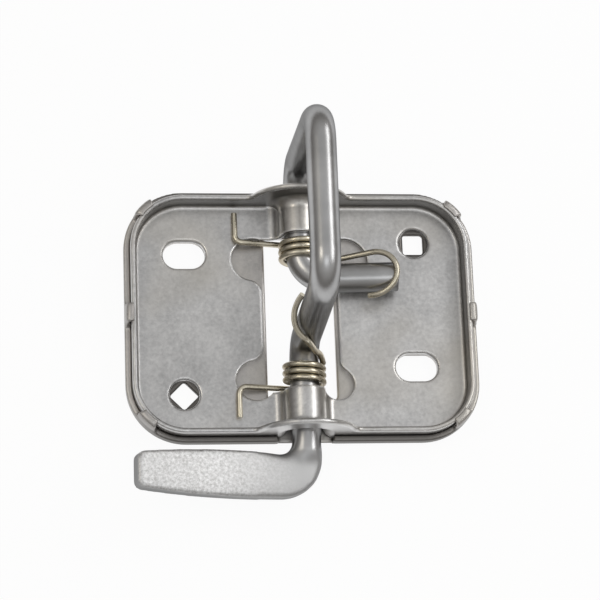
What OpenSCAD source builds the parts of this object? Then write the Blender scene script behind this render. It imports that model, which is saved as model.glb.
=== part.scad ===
// Hood latch: a sprung wire bail in a two-sheet pressed plate, with a flattened finger handle.
// Millimetres. X runs across the plate, Y along the pivot, Z up from the mounting face.
// The origin is the middle of the plate on its mounting face.

/* [Tray] */
// Width of the tray over its rim
tray_w = 92.8; // [84:0.2:110]
// Depth of the tray over its rim
tray_d = 66.8; // [62:0.2:80]
// Sheet thickness of the tray
tray_t = 1.5; // [1:0.1:2]
// Outer corner radius of the rim
corner_r = 14.5; // [9:0.5:18]
// Height of the rim above the tray's floor
rim_h = 6.1; // [5:0.1:8]
// Inside bend radius between floor and rim
bend_r = 1; // [0.6:0.1:1.6]

/* [Bearing humps] */
// Length of the front hump from the outside of the rim
front_hump = 12.4; // [9:0.2:15]
// Length of the back hump from the outside of the rim
back_hump = 11; // [9:0.2:15]
// Radius where a hump runs out into the floor
hump_foot = 3; // [2.2:0.1:4]
// Bend radius between a hump and the collar round its end
hump_bend = 2.8; // [1.6:0.1:2.9]
// Radius of the collar's edge about the pivot
collar_r = 13.7; // [11:0.1:15]
// Radius where the collar runs out into the rim
collar_foot = 2; // [1:0.5:4]

/* [Middle opening] */
// Width of the opening between the humps
opening_w = 21; // [18:0.2:24]
// Radius of the rounded corner where a relief meets the opening
relief_foot = 4; // [2:0.2:5]
// Radius of the relief by the rear spring's fixed leg
rear_left_r = 6; // [5:0.1:6.4]
// Radius of the relief by the front spring's fixed leg
front_left_r = 5.6; // [5:0.1:6.4]
// Radius of the relief by the stop arm
rear_right_r = 6.5; // [6:0.1:6.8]
// Radius of the small relief by the front coil
front_right_r = 4.5; // [4:0.1:5]
// How far the centres of the large reliefs stand out from the opening
relief_out = 2.1; // [1.6:0.1:2.6]
// How far the centre of the small relief stands inside the opening
small_relief_in = 0.9; // [0.5:0.1:1.5]
// How far the rear reliefs run past the back hump's end
rear_past = 0.25; // [0.1:0.05:0.6]
// How far the front reliefs run past the front hump's end
front_past = 2.1; // [1.5:0.1:2.6]

/* [Fixing holes] */
// Distance across between the two round holes
round_x = 64.4; // [58:0.2:68]
// Distance along Y between the two round holes
round_y = 42.8; // [36:0.2:46]
// Diameter of the round holes
round_d = 8.2; // [6:0.1:9]
// Distance across between the two slots
slot_x = 63; // [58:0.2:66]
// Distance along Y between the two slots
slot_y = 32; // [26:0.2:36]
// Shift of the pair of slots towards the back
slot_shift = 2; // [0:0.2:4]
// Width of a slot
slot_d = 7.8; // [6:0.1:9]
// Length of a slot
slot_len = 11.6; // [10:0.2:14]
// Rounding of the edges of holes and slots
hole_edge = 0.7; // [0.3:0.1:0.9]

/* [Base pan] */
// Sheet thickness of the pan
pan_t = 1.6; // [1.2:0.1:2.2]
// Height of the pan's wall above the mounting face
pan_h = 5.3; // [4:0.1:7]
// Gap between the pan's wall and the tray's rim
pan_gap = 0.1; // [0.05:0.05:0.3]
// Width of the pan's window under the springs
window_w = 18.8; // [16:0.2:20]
// How far the window runs in under the front hump
window_front = 2; // [0.5:0.1:4]
// How far the window runs in under the back hump
window_back = 0.6; // [0.4:0.1:4]
// Corner radius of the window
window_r = 1.5; // [0.5:0.5:3]
// Width of the notches that let the rod out
notch_w = 15; // [10:0.5:18]
// Side of the square bolt holes under the round holes
square_hole = 5.6; // [5:0.1:6.5]
// Width of a crimped tab
tab_w = 6; // [4:0.5:8]
// How far a crimped tab reaches in over the rim
tab_reach = 1.3; // [0.8:0.1:1.5]
// Thickness of a tab's crimped lip
tab_lip = 0.7; // [0.5:0.1:1.2]
// How much thinner a tab is than the pan's wall, on each side
tab_ease = 0.05; // [0.03:0.01:0.1]
// Gap between a tab and the rim
tab_gap = 0.05; // [0.02:0.01:0.2]

/* [Bail rod] */
// Diameter of the rod
rod_d = 8; // [7:0.1:8.4]
// Running clearance between the rod and the humps
rod_clear = 0.06; // [0.02:0.01:0.1]
// Free height between the rod and the pan
rod_lift = 0.4; // [0.3:0.05:0.8]
// Height of the loop's bar above the pivot
loop_h = 45.5; // [36:0.5:60]
// Distance from the front hump's end to where the front leg would meet the pivot
leg_in = 12.5; // [12:0.1:15]
// How far the front leg slants to the back up to the loop's bar
leg_slant = 5; // [0:0.5:10]
// Distance from the pan's back wall to the back leg's axis
back_leg_gap = 6.9; // [6.5:0.1:12]
// Lean of the loop towards +X
loop_lean = 0.8; // [0:0.1:4]
// Bend radius of the loop's upper corners
loop_bend = 8.5; // [6:0.5:12]
// Bend radius where the legs turn into the pivot
leg_bend = 7.5; // [6:0.1:7.6]
// Distance from the back hump's end to the stop arm's axis
arm_in = 12.3; // [12:0.1:12.8]
// Reach of the stop arm from the pivot
arm_reach = 26.6; // [22:0.2:32]
// Bend radius between pivot and stop arm
arm_bend = 7.5; // [6:0.1:7.5]
// Gap between the stop arm and the tray's edge at rest
arm_gap = 0.08; // [0.05:0.01:0.3]

/* [Handle] */
// Reach of the handle from the pivot
handle_reach = 48.2; // [36:0.2:60]
// Distance from the tray's rim to the middle of the handle
handle_out = 11.9; // [11:0.1:16]
// Distance from the pivot to the handle's widest place
handle_mid = 20.2; // [14:0.2:30]
// How far the round rod runs in under the handle's root
neck_in = 2; // [1:0.1:3]
// Length over which the round rod is pressed down to the handle
neck_len = 4.6; // [3:0.1:6]
// Upward pitch of the handle at rest
handle_pitch = 15; // [8:0.5:20]
// Greatest width of the handle
handle_w = 12.6; // [11:0.1:14]
// Width of the handle at its tip
tip_w = 9.4; // [7:0.1:11]
// Thickness in the middle of the handle
handle_t = 4.8; // [3.5:0.1:6]
// Crown radius of the handle's two faces
crown_r = 40; // [25:1:80]
// Corner radius of the handle's tip
tip_r = 2.2; // [1:0.1:4]

/* [Springs] */
// Wire diameter
wire_d = 1.6; // [1.2:0.1:1.8]
// Radial gap between coil and rod
coil_gap = 0.35; // [0.3:0.05:0.5]
// Gap between neighbouring turns
turn_gap = 0.25; // [0.1:0.05:0.4]
// Whole turns in a coil
coil_turns = 3; // [2:1:3]
// Gap between a coil and the hump beside it
coil_end_gap = 0.5; // [0.3:0.1:1]
// Gap between a leg and the sheet or rod that it bears on
leg_gap = 0.15; // [0.1:0.05:0.4]
// Reach of the fixed legs from the pivot
fixed_reach = 17.6; // [15:0.2:20]
// Length of the turned end of the fixed legs
fixed_end = 8.4; // [5:0.2:9]
// Bend radius of the turned end
wire_bend = 2; // [1.5:0.1:3]
// Height of the turned corner above the leg's tip
leg_lift = 0.45; // [0:0.05:1]
// Angle at which the front spring's moving leg starts to climb the loop's leg
climb_start = 10; // [0:1:20]
// Angle at which it has crossed the front of the loop's leg
climb_cross = 115; // [100:1:130]
// Length of the climb on the way across
cross_len = 16.5; // [12:0.5:20]
// Angle round the loop's leg at which it ends
climb_turn = 230; // [200:5:240]
// Further climb on the way to its end
end_climb = 12; // [8:0.5:16]
// Radius of the rear spring's hook round the stop arm
hook_r = 6.1; // [5.6:0.1:6.6]
// Distance from the hook to the end of the stop arm
hook_inset = 1.1; // [0.9:0.1:3]
// Shift of the hook's middle from the stop arm's axis towards the back
hook_shift = 0.5; // [0:0.1:0.8]
// Angle at which the hook starts, at the back of the stop arm
hook_from = 94; // [85:1:100]
// Angle at which the hook ends, under the stop arm
hook_to = -102; // [-110:1:-90]
// How fast the hook dives under the stop arm
hook_dive = 0.75; // [0.7:0.01:0.8]

/* [Hidden] */
$fn = 72;
rod_r = rod_d / 2;
wire_r = wire_d / 2;
tray_z = pan_t;
floor_z = tray_z + tray_t;
rim_z = floor_z + rim_h;
pivot_z = pan_t + rod_lift + rod_r;
hump_in = rod_r + rod_clear;
hump_out = hump_in + tray_t;
front_y = -tray_d / 2;
back_y = tray_d / 2;
front_end_y = front_y + front_hump;
back_end_y = back_y - back_hump;
wall_w = tray_w - 2 * corner_r;
pan_in_w = tray_w + 2 * pan_gap;
pan_in_d = tray_d + 2 * pan_gap;
pan_in_r = corner_r + pan_gap;
leg_foot_y = front_end_y + leg_in;
back_leg_y = pan_in_d / 2 + pan_t + back_leg_gap;
arm_y = back_end_y - arm_in;
handle_y = front_y - handle_out;
join = 0.4;
// Spare length of a cutter past what it cuts
over = 1;
// Lets rounded corners cross the faces they blend into instead of only touching them
bite = 0.02;
bead_r = tray_t / 2 - 1.5 * bite;
// Centre and radius of each relief
relief_rear_left = [-opening_w / 2 - relief_out, back_end_y - rear_left_r + rear_past, rear_left_r];
relief_rear_right = [opening_w / 2 + relief_out, back_end_y - rear_right_r + rear_past, rear_right_r];
relief_front_left = [-opening_w / 2 - relief_out, front_end_y + front_left_r - front_past, front_left_r];
relief_front_right = [
  opening_w / 2 - small_relief_in, front_end_y + front_right_r - front_past, front_right_r
];
// Where bumps run out into a level
function run_out_x(top_r, level, foot) = sqrt(pow(top_r + foot, 2) - pow(level + foot - pivot_z, 2));
hump_half = run_out_x(hump_out, floor_z, hump_foot);
collar_half = run_out_x(collar_r, rim_z, collar_foot);

// Places of the fixing holes
round_at = [[-round_x / 2, -round_y / 2, 0], [round_x / 2, round_y / 2, 0]];
slot_at = [[-slot_x / 2, slot_y / 2 + slot_shift, 0], [slot_x / 2, slot_shift - slot_y / 2, 0]];

// Pitch that rests the stop arm on the tray: the greatest that any point of the relief's edge asks for
stop_drop = pivot_z - floor_z;
stop_foot_x = opening_w / 2 + relief_foot;
stop_foot_y = relief_rear_right.y
  - sqrt(pow(relief_rear_right.z + relief_foot, 2) - pow(stop_foot_x - relief_rear_right.x, 2));
stop_edge = concat(
  [
    for (a = [-90 : 2 : 0])
      [relief_rear_right.x, relief_rear_right.y] + relief_rear_right.z * [cos(a), sin(a)]
  ],
  [for (a = [60 : 2 : 180]) [stop_foot_x, stop_foot_y] + relief_foot * [cos(a), sin(a)]]
);
function stop_pitch(p) =
  let (depth = sqrt(max(0, pow(rod_r, 2) - pow(p.y - arm_y, 2))) + arm_gap)
  asin(depth / norm([p.x, stop_drop])) - atan2(stop_drop, p.x);
arm_pitch = max([for (p = stop_edge) if (abs(p.y - arm_y) < rod_r) stop_pitch(p)]);

// Handle's outline
root_out = rod_d;
bow_drop = (handle_w - tip_w) / 2;
bow_r = (pow(handle_reach - handle_mid, 2) + pow(bow_drop, 2)) / (2 * bow_drop);

// Springs: sides of the wire, degrees to a step in a bend or coil, steps in the other runs
wire_sides = 10;
coil_step = 15;
climb_steps = 30;
hook_steps = 14;
coil_r = rod_r + coil_gap + wire_r;
coil_pitch = wire_d + turn_gap;
front_coil_y = front_end_y + coil_end_gap + wire_r;
rear_coil_y = back_end_y - coil_end_gap - wire_r;
rest_z = floor_z + wire_r + leg_gap;
corner_z = rest_z + leg_lift;
fixed_angle = atan2(corner_z - pivot_z, -fixed_reach)
  + acos(coil_r / norm([fixed_reach, corner_z - pivot_z]));

// Rounded rectangle centred on the origin
module rounded_rect(w, d, r) {
  for (x = [-1, 1], y = [-1, 1])
    translate([x * (w / 2 - r), y * (d / 2 - r)]) circle(r);
  square([w - 2 * r, d], center = true);
  square([w, d - 2 * r], center = true);
}

// Takes a wall's section along the left and right sides and round the corners.
// The section's x is measured outwards from the outer face.
module sweep_sides_and_corners(w, d, r) {
  for (side = [0, 180])
    rotate([0, 0, side])
      translate([w / 2, d / 2 - r, 0])
        rotate([90, 0, 0]) linear_extrude(d - 2 * r) children();
  for (x = [0, 1], y = [0, 1])
    mirror([x, 0, 0]) mirror([0, y, 0])
      translate([w / 2 - r, d / 2 - r, 0])
        rotate_extrude(angle = 90) translate([r, 0]) children();
}

// Quarter ring between a floor and a wall, with its short runs into both
module bend_section(t, r) {
  intersection() {
    difference() {
      circle(r + t);
      circle(r);
    }
    translate([0, -r - t]) square(r + t);
  }
  translate([r, 0]) square([t, join]);
  translate([-join, -r - t]) square([join, t]);
}

// Section of a bent-up wall with its outer face on x = 0 and its underside on y = 0
module wall_section(t, r, h, round_top) {
  translate([-t - r, t + r]) bend_section(t, r);
  translate([-t, t + r]) square([t, h - t - r - (round_top ? t / 2 : 0)]);
  if (round_top)
    translate([-t / 2, h - t / 2]) circle(t / 2);
}

// Area under a round-topped bump about the pivot, in X and Z, that runs out into a level line
module bump_area(top_r, level, foot, low) {
  foot_x = run_out_x(top_r, level, foot);
  foot_z = level + foot;
  meet_z = pivot_z + (foot_z - pivot_z) * top_r / (top_r + foot);
  difference() {
    union() {
      translate([0, pivot_z]) circle(top_r);
      translate([-foot_x, low]) square([2 * foot_x, meet_z - low]);
    }
    for (side = [-1, 1]) translate([side * foot_x, foot_z]) circle(foot + bite);
    translate([-2 * foot_x, low - 2 * top_r]) square([4 * foot_x, 2 * top_r]);
  }
}

// Section that fills or rounds a corner at the origin, whose sides run to +x and to -y
module corner_section(r, lap) {
  difference() {
    translate([-lap, -r]) square(r + lap);
    translate([r, -r]) circle(r + bite);
  }
}

// Takes a corner section round the arch of a hump and down both of its sides
module round_the_arch(y, top_r, r, lap, low) {
  translate([0, y, pivot_z]) rotate([90, 0, 0])
    rotate_extrude(angle = 180) translate([top_r, 0]) corner_section(r, lap);
  for (side = [0, 1]) mirror([side, 0, 0])
    translate([top_r, y, low]) linear_extrude(pivot_z - low) mirror([0, 1]) corner_section(r, lap);
}

// One end wall of the tray, drawn at the front: flat wall, collar, bends and beaded edge
module end_wall() {
  wall_y = front_y + tray_t;
  bend_z = floor_z + bend_r;
  edge_y = front_y + tray_t / 2;
  edge_z = rim_z - tray_t / 2;
  edge_foot = collar_foot + tray_t / 2;
  collar_turn = atan2(rim_z + collar_foot - pivot_z, collar_half);
  bead_lap = asin(join / (2 * collar_r));
  // flat of the wall, from the bend up to the beaded edge
  translate([0, wall_y, 0]) rotate([90, 0, 0]) linear_extrude(tray_t) {
    translate([-wall_w / 2, bend_z]) square([wall_w, edge_z - bend_z]);
    bump_area(collar_r - tray_t / 2, edge_z, edge_foot, bend_z);
    translate([-hump_half, tray_z]) square([2 * hump_half, bend_z - tray_z + join]);
  }
  // bends along the floor
  for (side = [0, 1]) mirror([side, 0, 0])
    translate([hump_half, front_y, tray_z]) rotate([90, 0, 90]) linear_extrude(wall_w / 2 - hump_half)
      mirror([1, 0]) translate([-tray_t - bend_r, tray_t + bend_r]) bend_section(tray_t, bend_r);
  // bend between hump and wall
  round_the_arch(wall_y, hump_out, hump_bend, join, tray_z);
  // beaded edge along the rim, the run-outs and the collar
  for (side = [0, 1]) mirror([side, 0, 0]) {
    translate([collar_half - join, edge_y, edge_z]) rotate([0, 90, 0])
      cylinder(r = bead_r - bite, h = wall_w / 2 - collar_half + 2 * join);
    translate([collar_half, edge_y, rim_z + collar_foot]) rotate([90, 0, 0])
      rotate([0, 0, 180 + collar_turn])
        rotate_extrude(angle = 90 - collar_turn) translate([edge_foot, 0]) circle(bead_r);
  }
  translate([0, edge_y, pivot_z]) rotate([90, 0, 0]) rotate([0, 0, collar_turn - bead_lap])
    rotate_extrude(angle = 180 - 2 * (collar_turn - bead_lap))
      translate([collar_r - tray_t / 2, 0]) circle(bead_r - bite);
}

// Relief at a corner of the middle opening, with its rounded run into the straight edge
module relief(place) {
  side = sign(place.x);
  toward = -sign(place.y);
  edge_x = side * opening_w / 2;
  foot_x = edge_x + side * relief_foot;
  foot_y = place.y + toward * sqrt(max(0, pow(place.z + relief_foot, 2) - pow(foot_x - place.x, 2)));
  difference() {
    union() {
      translate([place.x, place.y]) circle(place.z);
      polygon([[place.x, place.y], [foot_x, foot_y], [edge_x, foot_y], [edge_x - side, place.y]]);
    }
    translate([foot_x, foot_y]) circle(relief_foot + bite);
  }
}

module opening_area() {
  translate([-opening_w / 2, front_end_y]) square([opening_w, back_end_y - front_end_y]);
  relief(relief_rear_left);
  relief(relief_front_left);
  relief(relief_rear_right);
  relief(relief_front_right);
}

// Cutter for a round hole or, with a spread, for a slot along X, rounded at its upper edge
module hole_cutter(r, spread, top_z) {
  for (side = [0, 180]) rotate([0, 0, side]) translate([spread / 2, 0, 0])
    rotate([0, 0, -90])
      rotate_extrude(angle = spread > 0 ? 180 : 360) hole_half_section(r, top_z);
  if (spread > 0)
    translate([-spread / 2, 0, 0]) rotate([90, 0, 90]) linear_extrude(spread) {
      hole_half_section(r, top_z);
      mirror([1, 0]) hole_half_section(r, top_z);
    }
}

module hole_half_section(r, top_z) {
  translate([0, -over]) square([r, top_z + 2 * over]);
  difference() {
    translate([0, top_z - hole_edge]) square([r + hole_edge, hole_edge + over]);
    translate([r + hole_edge, top_z - hole_edge]) circle(hole_edge);
    translate([r + hole_edge, top_z - hole_edge]) square(2 * hole_edge + over);
  }
}

module tray() {
  edge = tray_t + bend_r;
  color([0.68, 0.69, 0.7]) difference() {
    union() {
      translate([0, 0, tray_z]) {
        linear_extrude(tray_t)
          rounded_rect(tray_w - 2 * edge, tray_d - 2 * edge, corner_r - edge);
        sweep_sides_and_corners(tray_w, tray_d, corner_r)
          wall_section(tray_t, bend_r, rim_h + tray_t, true);
      }
      end_wall();
      rotate([0, 0, 180]) end_wall();
      translate([0, front_end_y, 0]) rotate([90, 0, 0]) linear_extrude(front_hump - tray_t / 2)
        bump_area(hump_out, floor_z, hump_foot, tray_z);
      translate([0, back_y - tray_t / 2, 0]) rotate([90, 0, 0]) linear_extrude(back_hump - tray_t / 2)
        bump_area(hump_out, floor_z, hump_foot, tray_z);
    }
    // channel under the humps, with flared mouths
    translate([0, back_y + over, 0]) rotate([90, 0, 0]) linear_extrude(tray_d + 2 * over)
      bump_area(hump_in, tray_z, hump_foot + tray_t, tray_z - over);
    for (turn = [0, 180]) rotate([0, 0, turn])
      round_the_arch(front_y, hump_in, tray_t + hump_bend, over, tray_z - over);
    linear_extrude(rim_z + collar_r) opening_area();
    for (place = round_at) translate(place) hole_cutter(round_d / 2, 0, floor_z);
    for (place = slot_at) translate(place) hole_cutter(slot_d / 2, slot_len - slot_d, floor_z);
  }
}

// Section of a crimped tab beside the tray's rim, measured as in wall_section
module tab_section() {
  top = rim_z + tab_gap;
  from = pan_gap + tab_ease;
  tab_t = pan_t - 2 * tab_ease;
  translate([from, pan_h - over]) square([tab_t, top - pan_h + over]);
  translate([-tab_reach, top]) square([tab_reach + from + tab_t - tab_lip, tab_lip]);
  translate([from + tab_t - tab_lip, top]) intersection() {
    circle(tab_lip);
    square(tab_lip);
  }
}

module tabs() {
  for (side = [0, 180]) rotate([0, 0, side])
    translate([tray_w / 2, tab_w / 2, 0]) rotate([90, 0, 0]) linear_extrude(tab_w) tab_section();
  sweep = tab_w / pan_in_r * 180 / PI;
  for (x = [0, 1], y = [0, 1]) mirror([x, 0, 0]) mirror([0, y, 0])
    translate([tray_w / 2 - corner_r, tray_d / 2 - corner_r, 0])
      rotate([0, 0, 45 - sweep / 2]) rotate_extrude(angle = sweep) translate([corner_r, 0]) tab_section();
}

module base_pan() {
  out_w = pan_in_w + 2 * pan_t;
  out_d = pan_in_d + 2 * pan_t;
  out_r = pan_in_r + pan_t;
  edge = pan_t + bend_r;
  window_from = front_end_y - window_front;
  window_to = back_end_y + window_back;
  color([0.55, 0.56, 0.57]) difference() {
    union() {
      linear_extrude(pan_t)
        rounded_rect(out_w - 2 * edge, out_d - 2 * edge, out_r - edge);
      sweep_sides_and_corners(out_w, out_d, out_r) wall_section(pan_t, bend_r, pan_h, false);
      for (turn = [0, 180]) rotate([0, 0, turn])
        translate([-out_w / 2 + out_r, out_d / 2, 0]) rotate([90, 0, 90])
          linear_extrude(out_w - 2 * out_r) wall_section(pan_t, bend_r, pan_h, false);
      tabs();
    }
    translate([0, (window_to + window_from) / 2, -over]) linear_extrude(pan_t + 2 * over)
      rounded_rect(window_w, window_to - window_from, window_r);
    for (turn = [0, 180]) rotate([0, 0, turn])
      translate([-notch_w / 2, out_d / 2 - edge - over, pan_t]) cube([notch_w, edge + 2 * over, pan_h]);
    for (i = [0, 1]) translate(round_at[i]) rotate([0, 0, 45 - 45 * i])
      translate([-square_hole / 2, -square_hole / 2, -over])
        cube([square_hole, square_hole, pan_t + 2 * over]);
    for (place = slot_at) translate(place + [0, 0, -over]) linear_extrude(pan_t + 2 * over) {
      for (side = [-1, 1]) translate([side * (slot_len - slot_d) / 2, 0]) circle(d = slot_d);
      square([slot_len - slot_d, slot_d], center = true);
    }
  }
}

// Straight and bent rod in the XY plane through corner points, with a bend radius at each inner point
function heading(a, b) = (b - a) / norm(b - a);
function turn_at(a, b, c) =
  let (u = heading(a, b), v = heading(b, c)) atan2(u.x * v.y - u.y * v.x, u * v);
function run_in(p, r, i) =
  i == 0 || i == len(p) - 1 ? 0 : r[i - 1] * tan(abs(turn_at(p[i - 1], p[i], p[i + 1])) / 2);

module flat_rod(p, r) {
  for (i = [0 : len(p) - 2]) {
    u = heading(p[i], p[i + 1]);
    from = p[i] + u * run_in(p, r, i);
    span = norm(p[i + 1] - p[i]) - run_in(p, r, i) - run_in(p, r, i + 1);
    translate([from.x, from.y, 0]) rotate([0, 90, atan2(u.y, u.x)]) cylinder(d = rod_d, h = span);
  }
  for (i = [1 : len(p) - 2]) {
    u = heading(p[i - 1], p[i]);
    turn = turn_at(p[i - 1], p[i], p[i + 1]);
    from = p[i] - u * run_in(p, r, i);
    centre = from + sign(turn) * r[i - 1] * [-u.y, u.x];
    start = atan2(from.y - centre.y, from.x - centre.x) + min(turn, 0);
    translate([centre.x, centre.y, 0]) rotate([0, 0, start]) {
      rotate_extrude(angle = abs(turn)) translate([r[i - 1], 0]) circle(d = rod_d);
      for (a = [0, abs(turn)]) rotate([0, 0, a]) translate([r[i - 1], 0, 0]) sphere(rod_r + bite / 2);
    }
  }
}

// Turns a drawing in X and Y into one along the pivot and out from it, tilted from upright towards +X
module on_pivot(tilt) {
  translate([0, 0, pivot_z]) rotate([0, tilt, 0]) rotate([90, 0, 90]) children();
}

// Half the handle's width at a distance out from the pivot
function blade_half(out) = handle_w / 2 - bow_r + sqrt(pow(bow_r, 2) - pow(out - handle_mid, 2));

// Plan of the handle's turned root, between an outer and an inner arc: x along the pivot, y out from it
module root_plan() {
  near = handle_y + blade_half(root_out);
  far = handle_y - blade_half(root_out);
  neck_r = root_out + rod_r;
  inner_r = root_out - rod_r;
  difference() {
    intersection() {
      translate([far + neck_r, root_out]) circle(neck_r);
      translate([far, -rod_r]) square([near + inner_r - far, root_out + rod_r + join]);
    }
    translate([near + inner_r, root_out]) circle(inner_r);
    translate([near, root_out]) square(inner_r + over);
  }
}

// Plan of the handle's blade, with bowed edges and a rounded tip
module blade_plan() {
  corner_out = handle_reach - tip_r;
  corner_half = blade_half(corner_out) - tip_r;
  intersection() {
    translate([handle_y + handle_w / 2 - bow_r, handle_mid]) circle(bow_r, $fn = 1440);
    translate([handle_y - handle_w / 2 + bow_r, handle_mid]) circle(bow_r, $fn = 1440);
    translate([handle_y - handle_w, root_out]) square([2 * handle_w, handle_reach - root_out]);
    union() {
      translate([handle_y - handle_w, 0]) square([2 * handle_w, corner_out]);
      translate([handle_y - corner_half, 0]) square([2 * corner_half, handle_reach + over]);
      for (side = [-1, 1]) translate([handle_y + side * corner_half, corner_out]) circle(tip_r + bite);
    }
  }
}

// Section across the handle between its two crowned faces: x along the pivot, y its thickness
module crown_section() {
  translate([handle_y, 0]) intersection_for (side = [-1, 1])
    translate([0, side * (handle_t / 2 - crown_r)]) circle(crown_r, $fn = 720);
}

// Presses a plan flat between the crowned faces
module pressed() {
  intersection() {
    translate([0, 0, -rod_r]) linear_extrude(rod_d) children();
    translate([0, -rod_d, 0]) rotate([-90, 0, 0])
      linear_extrude(handle_reach + 2 * rod_d) crown_section();
  }
}

// Flattened handle, and the neck that tapers into it from the round rod
module handle(from_y) {
  neck_y = handle_y + blade_half(root_out) - neck_in;
  taper_y = neck_y + neck_len;
  pressed() root_plan();
  pressed() blade_plan();
  intersection() {
    translate([neck_y, 0, 0]) rotate([0, 90, 0]) cylinder(r = rod_r, h = from_y - neck_y);
    translate([0, rod_d, 0]) rotate([90, 0, 0]) linear_extrude(2 * rod_d)
      polygon([
        [neck_y, -handle_t / 2], [neck_y, handle_t / 2], [taper_y, rod_r + over],
        [from_y, rod_r + over], [from_y, -rod_r - over], [taper_y, -rod_r - over]
      ]);
  }
}

module bail_rod() {
  front_mid = (front_y + front_end_y) / 2;
  back_mid = (back_y + back_end_y) / 2;
  color([0.75, 0.76, 0.77]) {
    on_pivot(loop_lean)
      flat_rod(
        [
          [front_mid, 0], [leg_foot_y, 0], [leg_foot_y + leg_slant, loop_h],
          [back_leg_y, loop_h], [back_leg_y, 0], [back_mid, 0]
        ],
        [leg_bend, loop_bend, loop_bend, leg_bend]
      );
    on_pivot(90 - arm_pitch) flat_rod([[back_mid, 0], [arm_y, 0], [arm_y, arm_reach]], [arm_bend]);
    on_pivot(handle_pitch - 90) handle(front_mid);
    for (y = [front_mid, back_mid]) translate([0, y, pivot_z]) sphere(rod_r + bite / 2);
  }
}

// Wire swept along a path of points, one ring of points to each
function unit(v) = v / norm(v);
function path_dir(p, i) = unit(p[min(i + 1, len(p) - 1)] - p[max(i - 1, 0)]);
function ring_at(p, i) =
  let (
    d = path_dir(p, i),
    ref = abs(d.y) < 0.9 ? [0, 1, 0] : [1, 0, 0],
    u = unit(cross(d, ref)),
    v = cross(d, u)
  )
  [
    for (k = [0 : wire_sides - 1])
      let (a = 360 * k / wire_sides)
      p[i] + wire_r * (u * cos(a) + v * sin(a))
  ];

module wire(p) {
  n = wire_sides;
  last = len(p) - 1;
  polyhedron(
    points = [for (i = [0 : last]) each ring_at(p, i)],
    faces = concat(
      [[for (k = [0 : n - 1]) n - 1 - k]],
      [
        for (i = [0 : last - 1], k = [0 : n - 1])
          [i * n + k, i * n + (k + 1) % n, (i + 1) * n + (k + 1) % n, (i + 1) * n + k]
      ],
      [[for (k = [0 : n - 1]) last * n + k]]
    )
  );
}

// Fixed leg of a spring: tip on the floor, a turned corner, then straight in to the coil's underside.
// out is -1 where the tip points to the front and 1 where it points to the back.
function fixed_leg(y, out) = concat(
  [[-fixed_reach, y + out * fixed_end, rest_z]],
  [
    for (a = [0 : coil_step : 90])
      [-fixed_reach + wire_bend * (1 - cos(a)), y + out * wire_bend * (1 - sin(a)), corner_z]
  ]
);
function coil_path(y, out, from, to) = [
  for (k = [0 : 1 : ceil((to - from) / coil_step)])
    let (a = from + (to - from) * k / ceil((to - from) / coil_step))
    [coil_r * cos(a), y - out * coil_pitch * (a - from) / 360, pivot_z + coil_r * sin(a)]
];

// Angle at which wire leaves a coil for a point to its right or above it
function leave_angle(q) = atan2(q.z - pivot_z, q.x) - acos(coil_r / norm([q.x, q.z - pivot_z]));

// Axis of the rod from the start of the front leg's bend, s along it: place in Y, height, angle of climb
leg_turn = atan2(loop_h, leg_slant);
bend_y = leg_foot_y - leg_bend * tan(leg_turn / 2);
bend_len = leg_bend * leg_turn * PI / 180;
function leg_axis(s) =
  let (b = max(0, min(leg_turn, s / bend_len * leg_turn)), past = s < 0 ? s : max(0, s - bend_len))
  [
    bend_y + leg_bend * sin(b) + past * cos(b),
    leg_bend * (1 - cos(b)) + past * sin(b),
    b
  ];

// Point of a wire wound round that axis at an angle from the +X side, leaning with the loop
function on_leg(s, a) =
  let (
    axis = leg_axis(s),
    x = coil_r * cos(a),
    h = axis.y + coil_r * sin(a) * cos(axis.z)
  )
  [
    x * cos(loop_lean) + h * sin(loop_lean),
    axis.x - coil_r * sin(a) * sin(axis.z),
    pivot_z + h * cos(loop_lean) - x * sin(loop_lean)
  ];

// Climb of the front spring's moving leg at an angle round the loop's leg
function climb_at(a) =
  let (u = max(0, min(1, (a - climb_start) / (climb_cross - climb_start))))
  cross_len * u * u * (3 - 2 * u) + end_climb * pow(a / climb_turn, 2);

module front_spring() {
  coil_end = 360 * coil_turns;
  climb_from = front_coil_y + coil_pitch * (coil_end - fixed_angle) / 360 - bend_y;
  climb = [
    for (k = [1 : climb_steps])
      let (a = climb_turn * k / climb_steps)
      on_leg(climb_from + climb_at(a), a)
  ];
  color([0.78, 0.74, 0.64])
    wire(concat(
      fixed_leg(front_coil_y, -1),
      coil_path(front_coil_y, -1, fixed_angle, coil_end),
      climb
    ));
}

module rear_spring() {
  hook = [
    for (k = [0 : hook_steps])
      let (
        a = hook_from + (hook_to - hook_from) * k / hook_steps,
        x = arm_reach - hook_r - hook_inset + hook_r * cos(a),
        rise = (rod_r + wire_r + leg_gap) / cos(arm_pitch)
      )
      [x, arm_y + hook_shift + hook_r * sin(a), pivot_z + x * tan(arm_pitch) + rise * cos(hook_dive * a)]
  ];
  color([0.78, 0.74, 0.64])
    wire(concat(
      fixed_leg(rear_coil_y, 1),
      coil_path(rear_coil_y, 1, fixed_angle, 360 * coil_turns + leave_angle(hook[0])),
      hook
    ));
}

base_pan();
tray();
bail_rod();
front_spring();
rear_spring();
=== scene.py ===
import bpy
from math import acos, atan2, cos, degrees, hypot, radians, sin, tan
from mathutils import Matrix, Vector


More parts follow.
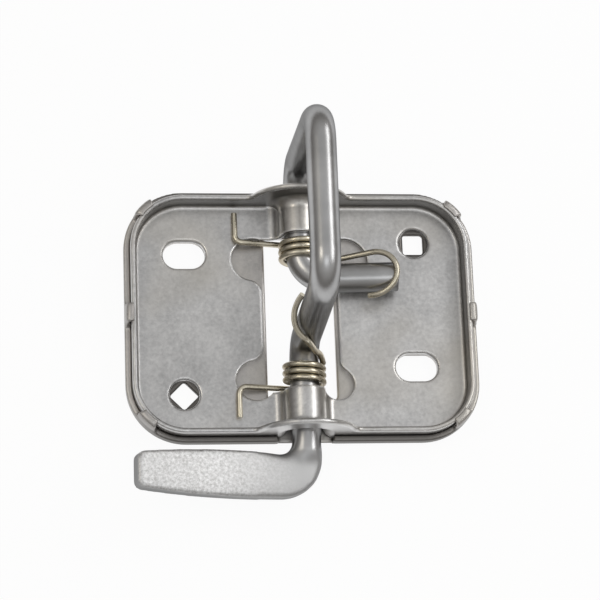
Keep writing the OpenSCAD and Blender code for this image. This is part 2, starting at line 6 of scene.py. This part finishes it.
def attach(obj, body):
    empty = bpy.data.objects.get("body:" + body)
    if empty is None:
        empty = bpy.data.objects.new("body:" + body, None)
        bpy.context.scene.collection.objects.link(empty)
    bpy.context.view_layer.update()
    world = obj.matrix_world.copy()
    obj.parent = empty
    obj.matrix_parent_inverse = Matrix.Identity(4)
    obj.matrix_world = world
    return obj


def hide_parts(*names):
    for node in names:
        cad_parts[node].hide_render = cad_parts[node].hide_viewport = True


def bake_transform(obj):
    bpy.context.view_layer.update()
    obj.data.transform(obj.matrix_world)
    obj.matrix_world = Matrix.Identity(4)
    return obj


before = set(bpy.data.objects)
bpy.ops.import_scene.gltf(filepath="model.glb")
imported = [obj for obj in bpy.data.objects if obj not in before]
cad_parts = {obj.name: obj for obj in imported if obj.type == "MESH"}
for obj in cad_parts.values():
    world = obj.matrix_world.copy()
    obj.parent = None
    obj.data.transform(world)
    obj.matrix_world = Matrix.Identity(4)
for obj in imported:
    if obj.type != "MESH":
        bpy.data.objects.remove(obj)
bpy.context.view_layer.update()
mm = 0.001
scene = bpy.context.scene
scene.view_settings.view_transform = "Standard"
print("frame loaded:", ", ".join(sorted(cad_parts)))

# camera, fitted to the plate's holes and rim
shot = {
    "target": (0, 0, 3.1),  # middle of the tray's floor, mm
    "distance": 650.5,  # mm
    "azimuth": -24.55,
    "elevation": 72.57,
    "roll": 23.44,
    "lens": 143.1,
    "sensor": 36,
    "shift": (-0.00137, 0.0295),
    "nearest": 0.01,  # m
}


# stands a camera or a lamp at a place, turned to its own three axes
def standAt(place, right, up, back):
    return Matrix.Translation(place) @ Matrix((right, up, back)).transposed().to_4x4()


def addCamera():
    az, el, roll = (radians(shot[k]) for k in ("azimuth", "elevation", "roll"))
    back = Vector((sin(az) * cos(el), -cos(az) * cos(el), sin(el)))
    level = Vector((cos(az), sin(az), 0))
    steep = back.cross(level)
    right = level * cos(roll) + steep * sin(roll)
    up = steep * cos(roll) - level * sin(roll)
    eye = (Vector(shot["target"]) + back * shot["distance"]) * mm
    bpy.ops.object.camera_add(location=eye)
    cam = bpy.context.object
    cam.matrix_world = standAt(eye, right, up, back)
    cam.data.lens = shot["lens"]
    cam.data.sensor_width = shot["sensor"]
    cam.data.shift_x, cam.data.shift_y = shot["shift"]
    cam.data.clip_start = shot["nearest"]
    scene.camera = cam


addCamera()
print("camera set")


# node helpers for the materials
def freshMaterial(name):
    mat = bpy.data.materials.new(name)
    mat.use_nodes = True
    mat.node_tree.nodes.clear()
    return mat, mat.node_tree


def addNode(tree, kind, inputs=None, **settings):
    node = tree.nodes.new(kind)
    for key, value in settings.items():
        setattr(node, key, value)
    for key, value in (inputs or {}).items():
        if isinstance(value, bpy.types.NodeSocket):
            tree.links.new(value, node.inputs[key])
        else:
            node.inputs[key].default_value = value
    return node


def grey(value, warm=0.0):
    return (value * (1 + warm), value, value * (1 - warm), 1)


def calc(tree, operation, *values, **settings):
    return addNode(tree, "ShaderNodeMath", dict(enumerate(values)),
                   operation=operation, **settings).outputs[0]


def compare(tree, operation, first, second):
    return addNode(tree, "ShaderNodeVectorMath", {0: first, 1: second},
                   operation=operation).outputs["Value"]


# goes from one value to another while the input goes from start to end
def ranged(tree, value, start, end, fromValue=0.0, toValue=1.0):
    return addNode(tree, "ShaderNodeMapRange",
                   {"Value": value, "From Min": start, "From Max": end,
                    "To Min": fromValue, "To Max": toValue}).outputs["Result"]


# the same for a place, over a span in mm
def overSpan(tree, place, span, fromValue=0.0, toValue=1.0):
    return ranged(tree, place, span[0] * mm, span[1] * mm, fromValue, toValue)


def mixColour(tree, share, first, second):
    return addNode(tree, "ShaderNodeMix", {0: share, 6: first, 7: second}, data_type="RGBA").outputs[2]


def noise(tree, coords, scale, detail, roughness):
    return addNode(tree, "ShaderNodeTexNoise",
                   {"Vector": coords, "Scale": scale, "Detail": detail,
                    "Roughness": roughness}).outputs["Fac"]


def twoTones(tree, value, stops, tones):
    node = addNode(tree, "ShaderNodeValToRGB", {"Fac": value})
    for element, stop, tone in zip(node.color_ramp.elements, stops, tones):
        element.position = stop
        element.color = tone
    return node.outputs["Color"]


def faceNormal(tree):
    return addNode(tree, "ShaderNodeNewGeometry").outputs["Normal"]


# what all the metal finishes share
metal = {
    "samples": 8,  # for rounded edges and the painted occlusion shade
    "dentDepth": 0.1,  # mm
}
# what the plated finishes share: a noise has a scale, a detail and a roughness
zinc = {
    "clouds": (4.0, 0.6),  # the scale is in each finish
    "grain": (900, 3.0, 0.7),
    "stops": (0.32, 0.68),  # of the noise, for the dark and the light tone
    "haze": (30, 2.0, 0.5),
    "hazeRange": (0.5, 0.75),
    "hazeShare": 0.6,
    "roughRange": (0.3, 0.7),
    "wallTurn": (-5, 5),  # mm from the middle, over which an inner wall turns into an outer one
    "edgeSheenRange": (0.99, 0.9),  # cosine of how far an edge is rounded, from plain to the painted highlight
}


# 1 where a face lies level, 0 where it stands upright
def levelMask(tree, start, end):
    upward = addNode(tree, "ShaderNodeSeparateXYZ", {0: faceNormal(tree)}).outputs["Z"]
    return ranged(tree, calc(tree, "ABSOLUTE", upward), start, end)


# 1 on walls that face away from the middle of the plate, 0 on those that face it
def outwardMask(tree, coords):
    return overSpan(tree, compare(tree, "DOT_PRODUCT", faceNormal(tree), coords), zinc["wallTurn"])


# painted shade on the pan: how far it loses its clean tone on its front and back edge and on the floor
# that shows through the round holes, and lightly on the tabs, and where it takes the dark painted shade,
# which leaves out the tabs
def paintedPanShade(tree, coords, paintedShade):
    place = addNode(tree, "ShaderNodeSeparateXYZ", {0: coords})
    height = place.outputs["Z"]
    ends = overSpan(tree, calc(tree, "ABSOLUTE", place.outputs["Y"]), paintedShade["ends"])
    dark = calc(tree, "MULTIPLY", ends, overSpan(tree, height, paintedShade["foot"], 1.0, 0.0))
    edge = calc(tree, "MULTIPLY", dark, calc(tree, "GREATER_THAN", height, paintedShade["above"] * mm))
    tabs = calc(tree, "GREATER_THAN", height, paintedShade["tabs"] * mm)
    amount = calc(tree, "MAXIMUM", calc(tree, "MULTIPLY", tabs, paintedShade["tabShare"]),
                  calc(tree, "MULTIPLY", edge, paintedShade["edgeShare"]))
    # painted shade on the pan's floor inside the round holes
    for x, y in paintedShade["holes"]:
        away = compare(tree, "DISTANCE", coords, (x * mm, y * mm, paintedShade["floor"] * mm))
        hole = calc(tree, "LESS_THAN", away, paintedShade["holeR"] * mm)
        amount = calc(tree, "MAXIMUM", amount, hole)
        dark = calc(tree, "MAXIMUM", dark, hole)
    return amount, dark


def roundedEdge(tree, radius):
    return addNode(tree, "ShaderNodeBevel", {"Radius": radius * mm},
                   samples=metal["samples"]).outputs["Normal"]


# bare metal with small dents
def metalShader(tree, inputs, dents, relief, edge):
    bump = addNode(tree, "ShaderNodeBump",
                   {"Strength": dents, "Distance": metal["dentDepth"] * mm,
                    "Height": relief, "Normal": edge})
    shader = addNode(tree, "ShaderNodeBsdfPrincipled",
                     {**inputs, "Metallic": 1.0, "Normal": bump.outputs["Normal"]})
    addNode(tree, "ShaderNodeOutputMaterial", {"Surface": shader.outputs["BSDF"]})


# zinc plate on pressed steel: clouded floor, painted shade and light on the upright walls, painted
# highlights on the rounded edges
def zincFinish(name, look):
    mat, tree = freshMaterial(name)
    coords = addNode(tree, "ShaderNodeTexCoord").outputs["Object"]
    clouds = noise(tree, coords, look["cloudScale"], *zinc["clouds"])
    grain = noise(tree, coords, *zinc["grain"])
    mixed = addNode(tree, "ShaderNodeMix", {0: look["grainShare"], 2: clouds, 3: grain}).outputs[0]
    tone = twoTones(tree, mixed, zinc["stops"], (look["dark"], look["light"]))
    haze = noise(tree, coords, *zinc["haze"])
    warmth = ranged(tree, haze, *zinc["hazeRange"], 0.0, zinc["hazeShare"])
    tone = mixColour(tree, warmth, tone, look["warm"])
    # painted shade and light: upright faces take the wall tones in place of the clouded tone, inner and
    # outer walls each a tone of their own
    flat = levelMask(tree, *look["upright"])
    wallShading = mixColour(tree, outwardMask(tree, coords), look["innerWallShading"], look["outerWallShading"])
    # painted shade on the pan's ends and round holes, in the wall tones and the dark shade tone
    if "paintedShade" in look:
        shadedShare, dark = paintedPanShade(tree, coords, look["paintedShade"])
        flat = calc(tree, "SUBTRACT", flat, shadedShare, use_clamp=True)
        wallShading = mixColour(tree, dark, wallShading, look["shadeTone"])
    if "occlusionShade" in look:
        # painted shade in gaps, corners and holes: the level tone darkens where ambient occlusion closes
        # in
        clear = addNode(tree, "ShaderNodeAmbientOcclusion", {"Distance": look["occlusionShade"] * mm},
                        samples=metal["samples"])
        flat = calc(tree, "MULTIPLY", flat, clear.outputs["AO"])
    colour = mixColour(tree, flat, wallShading, tone)
    # painted highlight: where the rounded normal turns from the face's own, the colour goes over to the
    # edge tone
    edge = roundedEdge(tree, look["edge"])
    edgeSheen = ranged(tree, compare(tree, "DOT_PRODUCT", edge, faceNormal(tree)), *zinc["edgeSheenRange"])
    colour = mixColour(tree, edgeSheen, colour, look["edgeSheen"])
    rough = ranged(tree, mixed, *zinc["roughRange"], *look["rough"])
    metalShader(tree, {"Base Color": colour, "Roughness": rough}, look["bump"], grain, edge)
    return mat


# drawn bar: smooth and streaked, but dull and speckled where the handle was forged flat, with painted
# shade on the handle's upright sides
def barFinish(name, look):
    mat, tree = freshMaterial(name)
    coords = addNode(tree, "ShaderNodeTexCoord").outputs["Object"]
    place = addNode(tree, "ShaderNodeSeparateXYZ", {0: coords})
    forged = overSpan(tree, place.outputs["Y"], look["forged"], 1.0, 0.0)
    root = overSpan(tree, place.outputs["X"], look["root"])
    speckle = noise(tree, coords, *look["speckle"])
    bar = twoTones(tree, noise(tree, coords, *look["streaks"]), look["stops"], look["bar"])
    paddle = twoTones(tree, speckle, look["stops"], look["paddle"])
    blade = mixColour(tree, root, paddle, look["rootTone"])
    # painted shade: the blade's upright sides, away from the root, take a darker tone
    topOrRoot = calc(tree, "MAXIMUM", levelMask(tree, *look["upright"]), root)
    blade = mixColour(tree, topOrRoot, look["bladeSideShade"], blade)
    colour = mixColour(tree, forged, bar, blade)
    rough = ranged(tree, forged, 0, 1, *look["rough"])
    dents = ranged(tree, forged, 0, 1, *look["bump"])
    metalShader(tree, {"Base Color": colour, "Roughness": rough, "Specular Tint": look["glance"]},
                dents, speckle, roundedEdge(tree, look["edge"]))
    return mat


traySheet = {
    "cloudScale": 90,
    "grainShare": 0.5,
    "dark": grey(0.42, 0.005),
    "light": grey(0.70, 0.01),
    "warm": (0.60, 0.56, 0.49, 1),
    # painted shade on the inner walls, painted light on the outer walls
    "innerWallShading": grey(0.17, 0.03),
    "outerWallShading": grey(0.62, 0.01),
    "edgeSheen": grey(0.94),
    "upright": (0.1, 0.75),
    "rough": (0.28, 0.38),
    "edge": 1.1,
    "bump": 0.12,
}
panSheet = {
    "cloudScale": 90,
    "grainShare": 0.5,
    "dark": grey(0.40, 0.03),
    "light": grey(0.58, 0.04),
    "warm": (0.52, 0.49, 0.42, 1),
    # painted light on the inner walls, painted shade on the outer walls
    "innerWallShading": grey(0.60, 0.04),
    "outerWallShading": grey(0.36, 0.04),
    "shadeTone": grey(0.13, 0.06),
    "edgeSheen": grey(0.50, 0.04),
    "upright": (0.2, 0.8),
    "paintedShade": {
        "tabs": 6.5,  # height above which the sheet is a tab, mm
        "tabShare": 0.35,
        "above": 2.0,  # height up to which level faces stay free of painted shade
        "edgeShare": 0.85,
        "ends": (25.0, 34.5),  # Y either way, from unshaded to painted shade
        "foot": (6.0, 6.8),  # height over which the dark painted shade ends, at the foot of the tabs
        "floor": 1.6,
        "holes": ((-32.2, -21.4), (32.2, 21.4)),
        "holeR": 4.6,
    },
    "occlusionShade": 2.0,
    "rough": (0.36, 0.46),
    "edge": 0.4,
    "bump": 0.12,
}
rodSteel = {
    "forged": (-38.6, -37.8),  # Y between which the round bar turns into the flat handle
    "streaks": (80, 3.0, 0.6),
    "speckle": (1300, 4.0, 0.75),
    "stops": (0.35, 0.65),
    "bar": (grey(0.38), grey(0.50)),
    "paddle": (grey(0.44, 0.01), grey(0.78)),
    "root": (-26, -2),  # X between which the speckle fades towards the handle's root
    "rootTone": grey(0.40),
    "bladeSideShade": grey(0.40),
    "upright": (0.35, 0.7),
    "glance": grey(0.38),  # tint of reflections at a low angle
    "rough": (0.30, 0.46),
    "bump": (0.03, 0.18),
    "edge": 1.2,
}
springWire = {
    "cloudScale": 200,
    "grainShare": 0.3,
    "dark": (0.52, 0.48, 0.38, 1),
    "light": (0.72, 0.67, 0.55, 1),
    "warm": (0.66, 0.58, 0.42, 1),
    # painted shade on the wire's sides
    "innerWallShading": (0.44, 0.38, 0.28, 1),
    "outerWallShading": (0.44, 0.38, 0.28, 1),
    "edgeSheen": (0.60, 0.54, 0.42, 1),
    "upright": (0.0, 0.5),
    "rough": (0.24, 0.32),
    "edge": 0.1,
    "bump": 0.01,
}


def paint(obj, mat):
    obj.data.materials.clear()
    obj.data.materials.append(mat)


paint(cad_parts["tray"], zincFinish("zinc tray", traySheet))
panMat = zincFinish("zinc pan", panSheet)
rodMat = barFinish("drawn bar", rodSteel)
springMat = zincFinish("straw spring wire", springWire)
print("finishes ready")

softening = {"merge": 0.001, "strength": 0.5}  # mm, and how far one pass moves a point


# more passes for the points between a lowest and a highest corner
def smoothZone(piece, low, high, passes):
    bpy.ops.object.mode_set(mode="EDIT")
    bpy.ops.mesh.select_mode(type="VERT")
    bpy.ops.mesh.select_all(action="DESELECT")
    bpy.ops.object.mode_set(mode="OBJECT")
    for vert in piece.data.vertices:
        vert.select = all(a < c < b for a, c, b in zip(low, vert.co, high))
    bpy.ops.object.mode_set(mode="EDIT")
    bpy.ops.mesh.vertices_smooth(factor=softening["strength"], repeat=passes)
    bpy.ops.object.mode_set(mode="OBJECT")


# a node's mesh again with softer edges: remeshed, smoothed by its passes, then more in its zones, which
# are a lowest and a highest corner in mm and a number of passes
def softCopy(node, form):
    bpy.ops.object.select_all(action="DESELECT")
    bpy.ops.mesh.primitive_cube_add(location=(0, 0, 0))
    piece = bpy.context.object
    piece.name = form["name"]
    piece.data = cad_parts[node].data.copy()
    bpy.ops.object.mode_set(mode="EDIT")
    bpy.ops.mesh.select_all(action="SELECT")
    bpy.ops.mesh.remove_doubles(threshold=softening["merge"] * mm)
    bpy.ops.object.mode_set(mode="OBJECT")
    skin = piece.modifiers.new("skin", "REMESH")
    skin.mode = "VOXEL"
    skin.voxel_size = form["voxel"] * mm
    soften = piece.modifiers.new("soften", "SMOOTH")
    soften.factor = softening["strength"]
    soften.iterations = form["passes"]
    for name in ("skin", "soften"):
        bpy.ops.object.modifier_apply(modifier=name)
    for low, high, passes in form["zones"]:
        smoothZone(piece, Vector(low) * mm, Vector(high) * mm, passes)
    bpy.ops.object.shade_smooth()
    return piece


# bail, softest at the neck where the round bar was pressed flat
bail = {
    "name": "forgedBail",
    "voxel": 0.4,
    "passes": 6,
    "zones": (
        ((-8, -46, -20), (20, -34.5, 25), 25),
        ((-11, -49, -20), (20, -33.5, 25), 15),
        ((-14, -55, -20), (20, -33, 25), 12),
    ),
}
rod = softCopy("bail_rod", bail)
paint(rod, rodMat)
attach(rod, "bail")
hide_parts("bail_rod")
print("bail softened")

# pan, smoothed only at the tabs that were crimped over the tray
pan = {
    "name": "crimpedPan",
    "voxel": 0.42,
    "passes": 0,
    "zones": (((-60, -60, 6.2), (60, 60, 12), 26),),
}
sheet = softCopy("base_pan", pan)
paint(sheet, panMat)
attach(sheet, "base")
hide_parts("base_pan")
print("pan softened")

# springs: the wire's route in mm, repeated from the solid, then swept round
spring = {
    "wire": 1.6,
    "pivotZ": 6.0,
    "coilR": 5.15,
    "pitch": 1.85,
    "turns": 3,
    "reach": 17.6,  # corner of the fixed leg, left of the pivot
    "cornerZ": 4.5,
    "tipZ": 4.05,
    "tip": 8.4,
    "cornerR": 2.0,
    "step": 7.5,  # degrees from point to point in the corner and the coil
    "roundness": 5,
    "smoothAngle": 50,
}
frontSpring = {
    "y": -19.7,
    "way": -1,
    "climbAngle": (10, 115),  # between which the wire crosses the front of the leg
    "crossLength": 16.5,
    "endAngle": 230,
    "endClimb": 12,
    "steps": 60,
}
frontLeg = {"foot": -8.5, "slant": 5.0, "height": 45.5, "bendR": 7.5, "lean": 0.8}
rearSpring = {
    "y": 21.1,
    "way": 1,
    "hookR": 6.1,
    "hookX": 19.4,
    "hookY": 10.6,
    "hookAngle": (94, -102),
    "dive": 0.75,
    "armPitch": 5.315,
    "lift": 4.95,
    "steps": 28,
}


def fixedLeg(form):
    s = spring
    points = [(-s["reach"], form["y"] + form["way"] * s["tip"], s["tipZ"])]
    for step in range(round(90 / s["step"]) + 1):
        a = radians(s["step"] * step)
        points.append((-s["reach"] + s["cornerR"] * (1 - cos(a)),
                       form["y"] + form["way"] * s["cornerR"] * (1 - sin(a)), s["cornerZ"]))
    return points


# angle at which the fixed leg meets the coil
def coilStart():
    drop = spring["cornerZ"] - spring["pivotZ"]
    reach = spring["reach"]
    return degrees(atan2(drop, -reach) + acos(spring["coilR"] / hypot(reach, drop)))


def coil(form, end):
    s = spring
    start = coilStart()
    steps = round((end - start) / s["step"])
    points = []
    for step in range(steps + 1):
        a = start + (end - start) * step / steps
        points.append((s["coilR"] * cos(radians(a)),
                       form["y"] - form["way"] * s["pitch"] * (a - start) / 360,
                       s["pivotZ"] + s["coilR"] * sin(radians(a))))
    return points


# the front spring's moving leg winds on round the loop's leg, first through the leg's bend
def climbRoundLeg():
    s = spring
    turn = atan2(frontLeg["height"], frontLeg["slant"])
    bendStart = frontLeg["foot"] - frontLeg["bendR"] * tan(turn / 2)
    bendLength = frontLeg["bendR"] * turn
    lean = radians(frontLeg["lean"])
    begin = frontSpring["y"] + s["pitch"] * (360 * s["turns"] - coilStart()) / 360 - bendStart
    first, last = frontSpring["climbAngle"]
    points = []
    for step in range(1, frontSpring["steps"] + 1):
        done = step / frontSpring["steps"]
        angle = frontSpring["endAngle"] * done
        crossed = max(0, min(1, (angle - first) / (last - first)))
        run = (begin + frontSpring["crossLength"] * crossed * crossed * (3 - 2 * crossed)
               + frontSpring["endClimb"] * done * done)
        bent = min(turn, run / frontLeg["bendR"])
        past = max(0, run - bendLength)
        a = radians(angle)
        x = s["coilR"] * cos(a)
        up = frontLeg["bendR"] * (1 - cos(bent)) + past * sin(bent) + s["coilR"] * sin(a) * cos(bent)
        y = bendStart + frontLeg["bendR"] * sin(bent) + past * cos(bent) - s["coilR"] * sin(a) * sin(bent)
        points.append((x * cos(lean) + up * sin(lean), y, s["pivotZ"] + up * cos(lean) - x * sin(lean)))
    return points


# the rear spring's moving leg hooks over the stop arm and dips at both sides of it
def hookOverArm():
    pitch = radians(rearSpring["armPitch"])
    first, last = rearSpring["hookAngle"]
    points = []
    for step in range(rearSpring["steps"] + 1):
        done = step / rearSpring["steps"]
        a = first + (last - first) * done
        x = rearSpring["hookX"] + rearSpring["hookR"] * cos(radians(a))
        y = rearSpring["hookY"] + rearSpring["hookR"] * sin(radians(a))
        rise = rearSpring["lift"] / cos(pitch) * cos(radians(rearSpring["dive"] * a))
        points.append((x, y, spring["pivotZ"] + x * tan(pitch) + rise))
    return points


# angle at which the wire leaves the coil straight for a point
def leaveAngle(point):
    rise = point[2] - spring["pivotZ"]
    return degrees(atan2(rise, point[0]) - acos(spring["coilR"] / hypot(point[0], rise)))


def sweepWire(name, points):
    bpy.ops.object.select_all(action="DESELECT")
    bpy.ops.curve.primitive_bezier_curve_add()
    wire = bpy.context.object
    wire.name = name
    wire.data.splines.clear()
    line = wire.data.splines.new("POLY")
    line.points.add(len(points) - 1)
    for p, place in zip(line.points, points):
        p.co = (place[0] * mm, place[1] * mm, place[2] * mm, 1)
    wire.data.bevel_depth = spring["wire"] / 2 * mm
    wire.data.bevel_resolution = spring["roundness"]
    wire.data.use_fill_caps = True
    bpy.ops.object.convert(target="MESH")
    wire = bpy.context.object
    bpy.ops.object.shade_smooth_by_angle(angle=radians(spring["smoothAngle"]))
    paint(wire, springMat)
    return wire


wholeTurns = 360 * spring["turns"]
front = sweepWire("frontSpringWire",
                  fixedLeg(frontSpring) + coil(frontSpring, wholeTurns) + climbRoundLeg())
hook = hookOverArm()
rear = sweepWire("rearSpringWire",
                 fixedLeg(rearSpring) + coil(rearSpring, wholeTurns + leaveAngle(hook[0])) + hook)
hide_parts("front_spring")
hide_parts("rear_spring")
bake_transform(front)
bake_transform(rear)
print("springs swept")

# floor, world and lamps, in m
studio = {
    "floor": 6.0,
    "paper": grey(0.92),
    "shadow": 0.06,  # how much of the floor's own shading shows in the white
    "zenith": grey(0.66),
    "zenithAt": 0.95,
    "middle": grey(0.48, 0.02),
    "middleAt": 0.65,
    "horizon": grey(0.15, 0.10),
}
rightStrip = {
    "place": (0.40, 0.16, 0.43),
    "size": (0.16, 0.60),
    "power": 0.98,
    "colour": (1, 1, 1),
}
leftPanel = {
    "place": (-0.36, 0.02, 0.50),
    "size": (0.16, 0.22),
    "power": 0.30,
    "colour": (1, 0.93, 0.80),
}
frontPanel = {
    "place": (0.02, -0.30, 0.85),
    "size": (0.45, 0.26),
    "power": 0.45,
    "colour": (0.95, 0.98, 1),
}


def addFloor():
    bpy.ops.object.select_all(action="DESELECT")
    bpy.ops.mesh.primitive_plane_add(size=studio["floor"], location=(0, 0, 0))
    floor = bpy.context.object
    floor.name = "studioFloor"
    mat, tree = freshMaterial("white paper")
    path = addNode(tree, "ShaderNodeLightPath")
    seen = path.outputs["Is Camera Ray"]
    for ray in ("Is Glossy Ray", "Is Transmission Ray"):
        seen = calc(tree, "MAXIMUM", seen, path.outputs[ray])
    share = calc(tree, "MULTIPLY", seen, 1 - studio["shadow"])
    paper = addNode(tree, "ShaderNodeBsdfDiffuse", {"Color": studio["paper"]})
    glow = addNode(tree, "ShaderNodeEmission", {"Color": grey(1), "Strength": 1.0})
    both = addNode(tree, "ShaderNodeMixShader", {0: share, 1: paper.outputs[0], 2: glow.outputs[0]})
    addNode(tree, "ShaderNodeOutputMaterial", {"Surface": both.outputs[0]})
    paint(floor, mat)


# a panel faces the plate, with the first of its two sizes level
def addPanel(name, panel):
    place = Vector(panel["place"])
    away = place.normalized()
    across = Vector((0, 1, 0)).cross(away).normalized()
    bpy.ops.object.light_add(type="AREA", location=place)
    lamp = bpy.context.object
    lamp.name = name
    lamp.matrix_world = standAt(place, across, away.cross(across), away)
    lamp.data.shape = "RECTANGLE"
    lamp.data.size, lamp.data.size_y = panel["size"]
    lamp.data.energy = panel["power"]
    lamp.data.color = panel["colour"]


def addWorld():
    world = bpy.data.worlds.new("studio")
    world.use_nodes = True
    tree = world.node_tree
    tree.nodes.clear()
    way = addNode(tree, "ShaderNodeTexCoord").outputs["Generated"]
    height = addNode(tree, "ShaderNodeSeparateXYZ", {0: way}).outputs["Z"]
    sky = addNode(tree, "ShaderNodeValToRGB", {"Fac": height})
    sky.color_ramp.interpolation = "EASE"
    sky.color_ramp.elements[0].color = studio["horizon"]
    sky.color_ramp.elements[1].color = studio["zenith"]
    sky.color_ramp.elements[1].position = studio["zenithAt"]
    sky.color_ramp.elements.new(studio["middleAt"]).color = studio["middle"]
    light = addNode(tree, "ShaderNodeBackground", {"Color": sky.outputs["Color"], "Strength": 1.0})
    addNode(tree, "ShaderNodeOutputWorld", {"Surface": light.outputs[0]})
    scene.world = world


addFloor()
addPanel("rightStrip", rightStrip)
addPanel("leftPanel", leftPanel)
addPanel("frontPanel", frontPanel)
addWorld()
print("studio lit")
